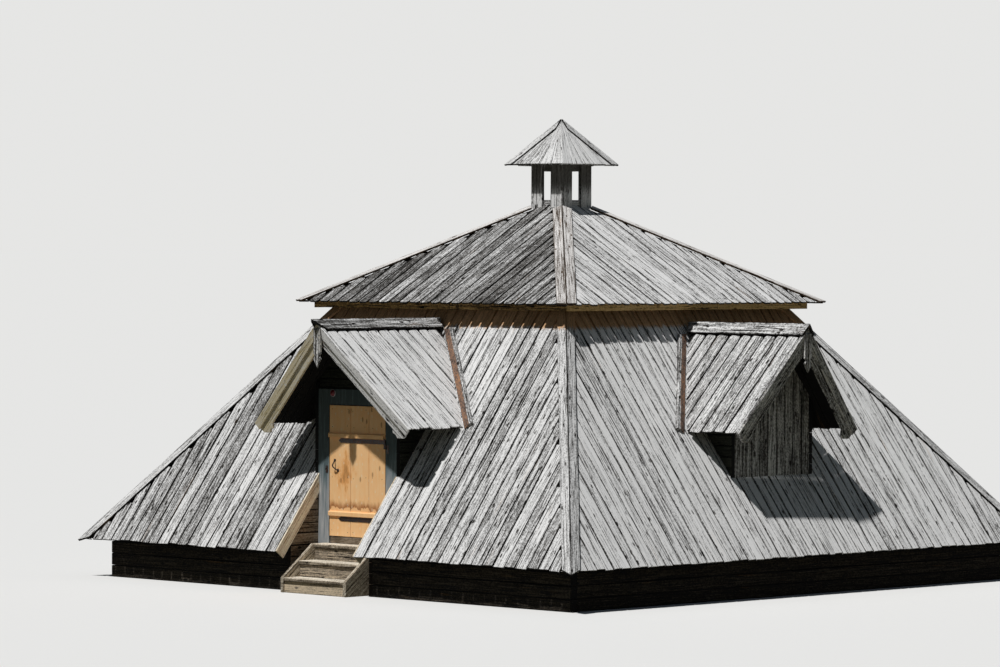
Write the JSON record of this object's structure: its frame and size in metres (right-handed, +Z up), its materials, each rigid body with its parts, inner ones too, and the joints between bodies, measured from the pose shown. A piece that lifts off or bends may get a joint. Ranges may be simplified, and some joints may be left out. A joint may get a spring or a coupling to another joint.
{
  "type": "root cellar",
  "caption": "Square timber root cellar: a steep boarded skirt under a pyramid roof with a vent lantern, entered by steps through a hinged door under a dormer.",
  "frame": {"origin": "on the vertical axis of the building, at ground level", "axes": "+Z up; the doorway faces -Y and the blind dormer faces +X, so +X is to the right seen from in front of the door"},
  "size_m": [9.1026, 9.1026, 6.1203],
  "materials": {
    "weathered_skirt_boards": "unpainted boards, silver grey from weather",
    "weathered_roof_boards": "unpainted boards, silver grey from weather",
    "weathered_cover_boards": "unpainted boards, silver grey from weather",
    "dark_timber": "old dark timber",
    "floor_planks": "worn planks",
    "ochre_fascia": "ochre brown board, partly blackened",
    "lantern_boards": "weathered boards",
    "lichened_boards": "weathered boards with lichen",
    "barked_board": "waney board with orange brown bark on its edge",
    "blue_grey_posts": "faded blue grey posts",
    "brown_planks": "brown planks",
    "new_trim_board": "newer pale board",
    "step_planks": "worn step planks",
    "pine_door": "varnished pine",
    "black_iron": "black wrought iron",
    "red_lamp": "red glass in a rim"
  },
  "bodies": {
    "building": {"base_wall_back": "dark_timber", "base_walls_beside_doorway": "dark_timber", "base_walls_left_and_right": "dark_timber", "cupola_corner_boards": "lantern_boards", "cupola_curb": "lantern_boards", "cupola_head": "lantern_boards", "cupola_hip_boards": "weathered_cover_boards", "cupola_roof": "weathered_roof_boards", "door_gable_wall": "dark_timber", "door_lintel": "dark_timber", "door_posts": "blue_grey_posts", "door_sill": "brown_planks", "dormer_apex_boards": "lichened_boards", "dormer_bargeboards": "lichened_boards", "dormer_cheeks": "dark_timber", "dormer_ridge_boards": "weathered_cover_boards", "dormer_roofs": "weathered_roof_boards", "dormer_valley_boards": "barked_board", "dormer_verge_strips": "lichened_boards", "floor": "floor_planks", "hinge_pintles": "black_iron", "hip_rafters": "dark_timber", "latch_staple": "black_iron", "opening_trim_boards": "new_trim_board", "recess_cheeks": "brown_planks", "ring_beams": "dark_timber", "roof_fascia": "ochre_fascia", "roof_front_and_back": "weathered_roof_boards", "roof_hip_boards": "weathered_cover_boards", "roof_left_and_right": "weathered_roof_boards", "side_dormer_front_wall": "dark_timber", "skirt_back": "weathered_skirt_boards", "skirt_beside_doorway": "weathered_skirt_boards", "skirt_hip_boards": "weathered_cover_boards", "skirt_left_and_right": "weathered_skirt_boards", "skirt_over_doorway": "weathered_skirt_boards", "step_risers": "step_planks", "step_stringers": "step_planks", "step_treads": "step_planks", "wall_lamp": "red_lamp"},
    "door": {"door_leaf": "pine_door", "door_ledges": "pine_door", "door_strap_hinges": "black_iron", "door_handle": "black_iron"}
  },
  "joints": [
    {"name": "door_hinge", "type": "hinge", "parent": "building", "child": "door", "pos_m": [0.518, -3.756, 1.5], "axis": [0, 0, 1], "range_deg": [0, 95]}
  ]
}
